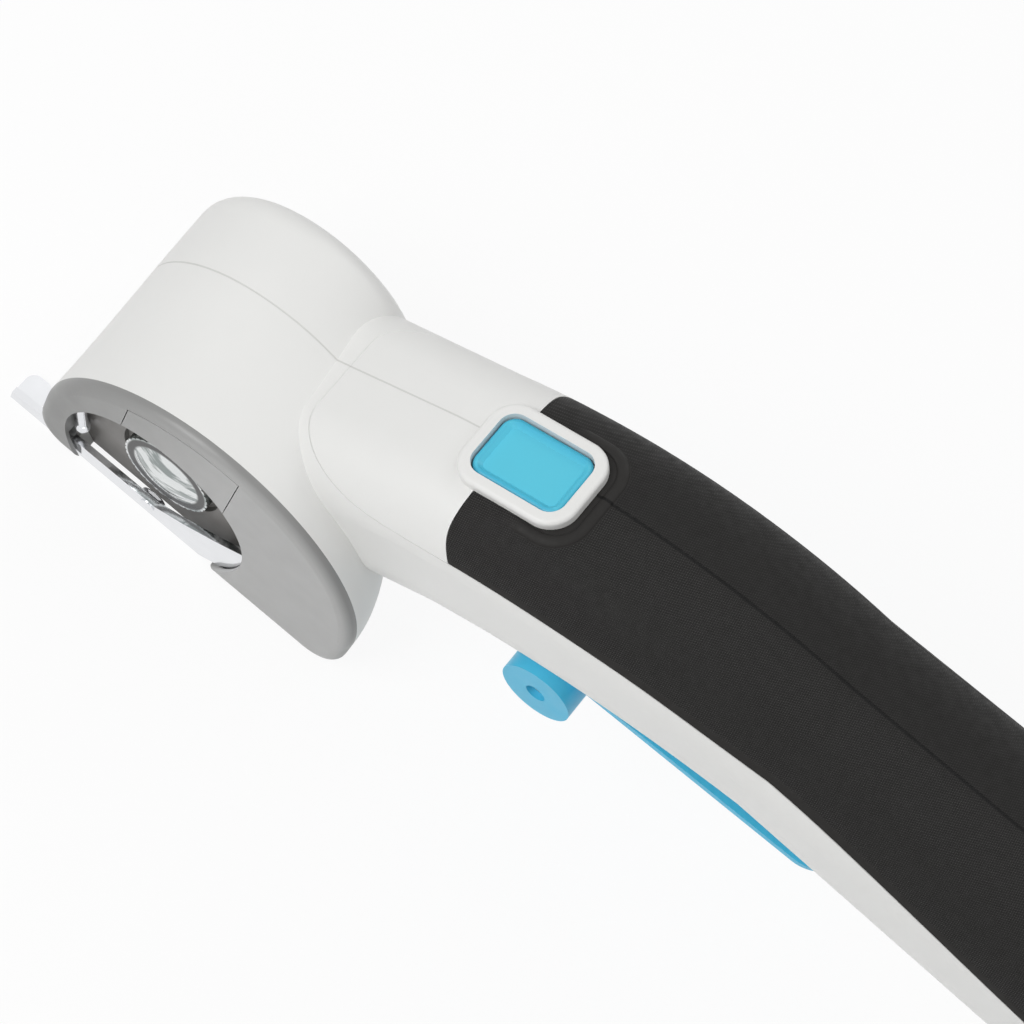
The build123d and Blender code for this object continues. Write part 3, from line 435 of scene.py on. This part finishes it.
def grip_rubber():
    """Soft black rubber: knurled, with a painted highlight on the tips, but plain along its lower edge and on
    the lip, with a dark joint.
    """
    m = Look("grip_rubber")
    x, y, z = m.xyz()
    field = m.ramp(above_seam(m, x, z), PLAIN_END, KNURL_WHOLE)
    border = m.minus(1.0, field)
    lip = lip_area(m, x, y, z)
    near_side = m.ramp(y, NEAR_Y, FAR_Y, 1.0, FAR_SHARE)
    cover = m.times(m.times(field, m.minus(1.0, lip)), near_side)
    tips = m.times(m.math("POWER", knurl_height(m, x, y, z), KNURL_POWER), cover)
    joint = parting_line(m, RUBBER_GROOVE)
    colour = m.mix(m.noise(RUBBER_CLOUD_SIZE, detail=3.0), tint(RUBBER_DARK), tint(RUBBER_PALE))
    colour = m.mix(m.math("MAXIMUM", border, lip), colour, tint(RUBBER_PLAIN))
    colour = m.mix(joint, tint(RUBBER_JOINT), colour)
    # painted highlight: the knurl's tips are coloured lighter than the rubber, less so on the far side of the
    # joint
    m.set(Base_Color=m.mix(m.times(tips, joint), colour, tint(RUBBER_TIP_HIGHLIGHT)))
    patches = m.noise(RUBBER_PATCH_SIZE, detail=3.0)
    m.set(Roughness=m.range(patches, NOISE_LOW, NOISE_HIGH, *RUBBER_ROUGHNESS))
    m.set(Specular_IOR_Level=0.2)
    relief = m.bump(m.noise(RUBBER_GRAIN_SIZE, detail=2.0), RUBBER_GRAIN_DEPTH)
    for height, depth in ((tips, KNURL_DEPTH), (border, PLAIN_STEP), (joint, RUBBER_GROOVE_DEPTH)):
        relief = m.bump(height, depth, after=relief)
    m.set(Normal=relief)
    return m.material


def blue_plastic():
    return moulded("blue_plastic", LEVER_BLUE, roughness=0.36, variation=0.04).material


# Button: how far inside the bezel's outline the painted shade of its edge starts and is whole
BUTTON_RIM_START = 6.0
BUTTON_RIM_WHOLE = 3.6


def button_plastic():
    """A lighter blue than the lever's, with painted shade round the edge of the dished button."""
    m = moulded("button_plastic", BUTTON_BLUE, roughness=0.36, variation=0.04)
    away, _ = from_bezel(m, *m.xyz())
    # painted shade: the edge of the dished button is coloured a deeper blue
    rim = m.ramp(away, -BUTTON_RIM_START, -BUTTON_RIM_WHOLE)
    m.set(Base_Color=m.mix(rim, m.now("Base Color"), tint(BUTTON_RIM_SHADE_BLUE)))
    return m.material


# Face plate: the depths between which its face gives way to the painted shade of its rim, the places along
# the body between which painted shade darkens its front, and the share of white in its face
PLATE_FACE_END = 0.3
PLATE_RIM_WHOLE = 1.7
PLATE_FRONT_WHOLE = -36.0
PLATE_FRONT_END = 0.0
PLATE_LIFT = 0.1


def grey_plate():
    """Grey moulding, with painted shade that darkens it towards its front and round its rim, against its
    face.
    """
    m = moulded("grey_plate", PLATE_GREY, roughness=0.36, grain=0.5, depth=0.01, variation=0.03)
    low_y = min(corner[1] for corner in nodes["face_plate"].bound_box)
    x, y, _ = m.xyz()
    face = m.ramp(m.minus(y, low_y), PLATE_FACE_END, PLATE_RIM_WHOLE, 1.0, 0.0)
    front = m.ramp(x, PLATE_FRONT_WHOLE, PLATE_FRONT_END, 1.0, 0.0)
    colour = m.mix(PLATE_LIFT, m.now("Base Color"), tint(PURE_WHITE))
    # painted shade: the plate darkens towards its front end
    colour = m.mix(front, colour, tint(PLATE_FRONT_SHADE_GREY))
    # painted shade: the rim is coloured darker than the face
    m.set(Base_Color=m.mix(face, tint(PLATE_RIM_SHADE_GREY), colour))
    return m.material


def dark_liner():
    return moulded("dark_liner", LINER_GREY, roughness=0.5, grain=0.6, depth=0.02, variation=0.1).material


# Drive wheel: stretch of its drawn lines, the shares of its radius over which its dark ring of painted shade
# comes and goes, and the size, stretch and turn of its streaks of painted reflection, with the noise at which
# they start and are whole
WHEEL_LINE_STRETCH = (1.0, 1.0, 9.0)
SHADE_RING_COMES = (0.74, 0.8)
SHADE_RING_GOES = (0.93, 0.97)
REFLECTION_STREAK_SIZE = 3.2
REFLECTION_STREAK_STRETCH = (0.35, 1.0, 1.6)
REFLECTION_STREAK_TURN = (0.0, 0.5, 0.0)
REFLECTION_STREAK_START = 0.47
REFLECTION_STREAK_WHOLE = 0.56


def wheel_steel():
    """Turned steel: painted shade as a dark ring inside the drive wheel's edge, painted reflections as
    streaks on its dome.
    """
    m = metal("wheel_steel", WHEEL_STEEL, roughness=0.14, stretch=WHEEL_LINE_STRETCH)
    middle = middle_of("drive_wheel")
    reach = max(corner[0] for corner in nodes["drive_wheel"].bound_box) - middle.x
    x, _, z = m.xyz()
    across = m.minus(x, middle.x)
    up = m.minus(z, middle.z)
    radius = m.math("SQRT", m.math("MULTIPLY_ADD", across, across, m.times(up, up)))
    comes = m.range(radius, *(share * reach for share in SHADE_RING_COMES))
    goes = m.range(radius, *(share * reach for share in SHADE_RING_GOES), 1.0, 0.0)
    streaks = m.noise(REFLECTION_STREAK_SIZE, detail=3.0, vector=m.stretched(REFLECTION_STREAK_STRETCH, REFLECTION_STREAK_TURN))
    # painted reflection: darker streaks over the wheel's dome
    colour = m.mix(m.range(streaks, REFLECTION_STREAK_START, REFLECTION_STREAK_WHOLE), m.now("Base Color"), tint(WHEEL_REFLECTION_STREAK))
    # painted shade: a dark ring inside the wheel's edge
    m.set(Base_Color=m.mix(m.times(comes, goes), colour, tint(WHEEL_SHADE_RING)))
    return m.material


def make_looks():
    """One material for each material slot."""
    looks = {
        "white_shell": white_shell(),
        "grip_rubber": grip_rubber(),
        "blue_plastic": blue_plastic(),
        "grey_plate": grey_plate(),
        "dark_liner": dark_liner(),
    }
    for slot, (colour, roughness) in PLAIN_PLASTICS.items():
        looks[slot] = moulded(slot, colour, roughness).material
    for slot, (colour, roughness) in PLAIN_METALS.items():
        looks[slot] = metal(slot, colour, roughness).material
    return looks


def dress():
    """Give each node its slot's material, or its own."""
    looks = make_looks()
    unparted = white_shell("white_shell_unparted", parted=False)
    own = {
        "button_bezel": unparted,
        "battery_door": unparted,
        "power_button": button_plastic(),
        "drive_wheel": wheel_steel(),
    }
    for part in frame["record"]["subparts"]:
        materials = nodes[part["node"]].data.materials
        materials.clear()
        materials.append(own.get(part["node"], looks[part["material_slot"]]))
    add_lip(looks["grip_rubber"])


def lip_path():
    """Points on the bezel's outline round its back, with their outward directions, in the button's plane."""
    half_along, half_across = BEZEL_HALF
    run = half_along - BEZEL_CORNER
    rise = half_across - BEZEL_CORNER
    side = [(LIP_START + LIP_STEP * k, half_across) for k in range(int((run - LIP_START) / LIP_STEP))]
    path = [(Vector(point), Vector((0.0, 1.0))) for point in side]
    turns = math.ceil(BEZEL_CORNER * math.pi / 2 / LIP_STEP)
    for k in range(turns + 1):
        angle = math.pi / 2 * (1 - k / turns)
        out = Vector((math.cos(angle), math.sin(angle)))
        path.append((Vector((run, rise)) + out * BEZEL_CORNER, out))
    back = math.ceil(rise / LIP_STEP)
    path += [(Vector((half_along, rise * (1 - k / back))), Vector((1.0, 0.0))) for k in range(1, back + 1)]
    mirror = [(Vector((p.x, -p.y)), Vector((o.x, -o.y))) for p, o in reversed(path[:-1])]
    return path + mirror


def surface_tree(node):
    mesh = nodes[node].data
    return BVHTree.FromPolygons([v.co for v in mesh.vertices], [f.vertices for f in mesh.polygons])


def lip_surface():
    """Rows of points on the grip's surface, each row across the lip."""
    grips = [surface_tree(node) for node in ("grip_left", "grip_right")]
    middle = middle_of("button_bezel")
    lift = BUTTON_NORMAL * (RAY_HEIGHT * MM)
    starts, depths = [], []
    for point, out in lip_path():
        flat = [(point + out * (LIP_GAP + LIP_WIDTH * j / (LIP_ACROSS - 1))) * MM for j in range(LIP_ACROSS)]
        row = [middle + BUTTON_ALONG * f.x + Vector((0.0, f.y, 0.0)) + lift for f in flat]
        hits = [[grip.ray_cast(place, -BUTTON_NORMAL)[3] for grip in grips] for place in row]
        depths.append([min((d for d in pair if d is not None), default=None) for pair in hits])
        starts.append(row)
    # a middle value bridges the gap between the grip's halves, and what misses the grip is left out
    surface = []
    for i, row in enumerate(starts):
        window = depths[max(i - LIP_WINDOW, 0):i + LIP_WINDOW + 1]
        known = [[d for d in column if d is not None] for column in zip(*window)]
        if None not in depths[i] or all(len(d) > LIP_WINDOW for d in known):
            surface.append([place - BUTTON_NORMAL * statistics.median(d) for place, d in zip(row, known)])
    return surface


def lip_sheets(surface):
    """The lip's rounded top, which fades at both ends, and its foot inside the grip."""
    top, foot = [], []
    last = len(surface) - 1
    for i, row in enumerate(surface):
        fade = min(1.0, min(i, last - i) * LIP_STEP / LIP_FADE)
        smooth_fade = fade * fade * (3 - 2 * fade)
        for j, place in enumerate(row):
            swell = math.sqrt(math.sin(math.pi * j / (LIP_ACROSS - 1))) * smooth_fade
            top.append(place + BUTTON_NORMAL * (LIP_HEIGHT * swell - LIP_EDGE) * MM)
            foot.append(place - BUTTON_NORMAL * LIP_SINK * MM)
    return top, foot


def closed_band(name, top_places, foot_places, across):
    """Closed mesh between two sheets of points that lie in rows of the same length."""
    band = bmesh.new()
    top = [band.verts.new(place) for place in top_places]
    foot = [band.verts.new(place) for place in foot_places]
    last = across - 1
    end = len(top) - across
    for a in range(0, end, across):
        b = a + across
        for j in range(last):
            band.faces.new((top[a + j], top[b + j], top[b + j + 1], top[a + j + 1]))
            band.faces.new((foot[a + j], foot[a + j + 1], foot[b + j + 1], foot[b + j]))
        band.faces.new((top[a], foot[a], foot[b], top[b]))
        band.faces.new((top[a + last], top[b + last], foot[b + last], foot[a + last]))
    for j in range(last):
        band.faces.new((top[j], top[j + 1], foot[j + 1], foot[j]))
        band.faces.new((top[end + j], foot[end + j], foot[end + j + 1], top[end + j + 1]))
    bmesh.ops.recalc_face_normals(band, faces=band.faces)
    mesh = bpy.data.meshes.new(name)
    band.to_mesh(mesh)
    band.free()
    mesh.shade_smooth()
    return mesh


def add_lip(material):
    """Raised band of plain rubber that lies on the grip round the back of the bezel."""
    mesh = closed_band("grip_lip", *lip_sheets(lip_surface()), LIP_ACROSS)
    mesh.materials.append(material)
    lip = bpy.data.objects.new("grip_lip", mesh)
    bpy.context.scene.collection.objects.link(lip)
    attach(lip, "body")


# Floor: half its side, how far it lies below the object, and the share of it that glows as background
FLOOR_HALF = 3000.0
FLOOR_DROP = 0.2
FLOOR_GLOW = 0.9


def floor_material():
    """Pale floor that keeps a faint shadow and otherwise shows as white background."""
    material = bpy.data.materials.new("floor")
    material.use_nodes = True
    m = Tree(material.node_tree)
    m.tree.nodes.clear()
    diffuse = m.add("ShaderNodeBsdfDiffuse")
    diffuse.inputs["Color"].default_value = tint(FLOOR_WHITE)
    glow = m.add("ShaderNodeEmission")
    mix = m.add("ShaderNodeMixShader")
    share_input, first_input, second_input = mix.inputs
    m.link(m.times(m.shows_background(), FLOOR_GLOW), share_input)
    m.link(diffuse.outputs[0], first_input)
    m.link(glow.outputs[0], second_input)
    output = m.add("ShaderNodeOutputMaterial")
    m.link(mix.outputs[0], output.inputs["Surface"])
    return material


def add_floor():
    half = FLOOR_HALF * MM
    mesh = bpy.data.meshes.new("floor")
    corners = [(-half, -half, 0), (half, -half, 0), (half, half, 0), (-half, half, 0)]
    mesh.from_pydata(corners, [], [(0, 1, 2, 3)])
    mesh.materials.append(floor_material())
    floor = bpy.data.objects.new("floor", mesh)
    floor.location = (0.0, 0.0, cad_box[0][2] - FLOOR_DROP * MM)
    bpy.context.scene.collection.objects.link(floor)


# Lamps: place, aim, width and height, and power in watts
LAMPS = {
    "key": (Vector((-450.0, -500.0, 750.0)), Vector((50.0, 0.0, 50.0)), (500.0, 500.0), 5.0),
    "fill": (Vector((500.0, -600.0, 600.0)), Vector((80.0, 0.0, 50.0)), (700.0, 500.0), 0.9),
    "back": (Vector((100.0, 800.0, 600.0)), Vector((50.0, 0.0, 50.0)), (800.0, 400.0), 2.0),
}


def add_lamp(name, place, aim, size, power):
    data = bpy.data.lights.new(name, "AREA")
    data.shape = "RECTANGLE"
    data.size = size[0] * MM
    data.size_y = size[1] * MM
    data.energy = power
    lamp = bpy.data.objects.new(name, data)
    lamp.location = place * MM
    lamp.rotation_euler = (aim - place).to_track_quat("-Z", "Y").to_euler()
    bpy.context.scene.collection.objects.link(lamp)


# Height on the world's sphere where the dark horizon ends and the bright sky is whole, and their strengths
WORLD_LOW = 0.1
WORLD_HIGH = 0.6
HORIZON_GLOW = 0.15
ZENITH_GLOW = 0.42

# Soft overhead panel: its direction, its half angles where it ends and is whole, and its strength
PANEL_WAY = Vector((0.0, 0.375, 0.927))
PANEL_EDGE = math.cos(math.radians(22.0))
PANEL_WHOLE = math.cos(math.radians(15.0))
PANEL_GLOW = 0.68


def add_world():
    """Sky that grows brighter upwards, with an overhead panel, and white where it shows as background."""
    world = bpy.data.worlds.new("world")
    world.use_nodes = True
    m = Tree(world.node_tree)
    glow = m.tree.nodes["Background"]
    glow.inputs["Color"].default_value = tint(PURE_WHITE)
    way = m.add("ShaderNodeTexCoord").outputs["Generated"]
    sky = m.range(m.axes(way)[2], WORLD_LOW, WORLD_HIGH, HORIZON_GLOW, ZENITH_GLOW)
    facing = m.add("ShaderNodeVectorMath", operation="DOT_PRODUCT")
    m.link(way, facing.inputs[0])
    facing.inputs[1].default_value = PANEL_WAY
    panel = m.range(facing.outputs["Value"], PANEL_EDGE, PANEL_WHOLE, 0.0, PANEL_GLOW)
    light = m.math("ADD", sky, panel)
    m.link(m.math("MAXIMUM", light, m.shows_background()), glow.inputs["Strength"])
    bpy.context.scene.world = world


add_camera()
dress()
add_floor()
add_world()
for lamp_name, lamp_values in LAMPS.items():
    add_lamp(lamp_name, *lamp_values)

bpy.context.scene.view_settings.view_transform = "Standard"
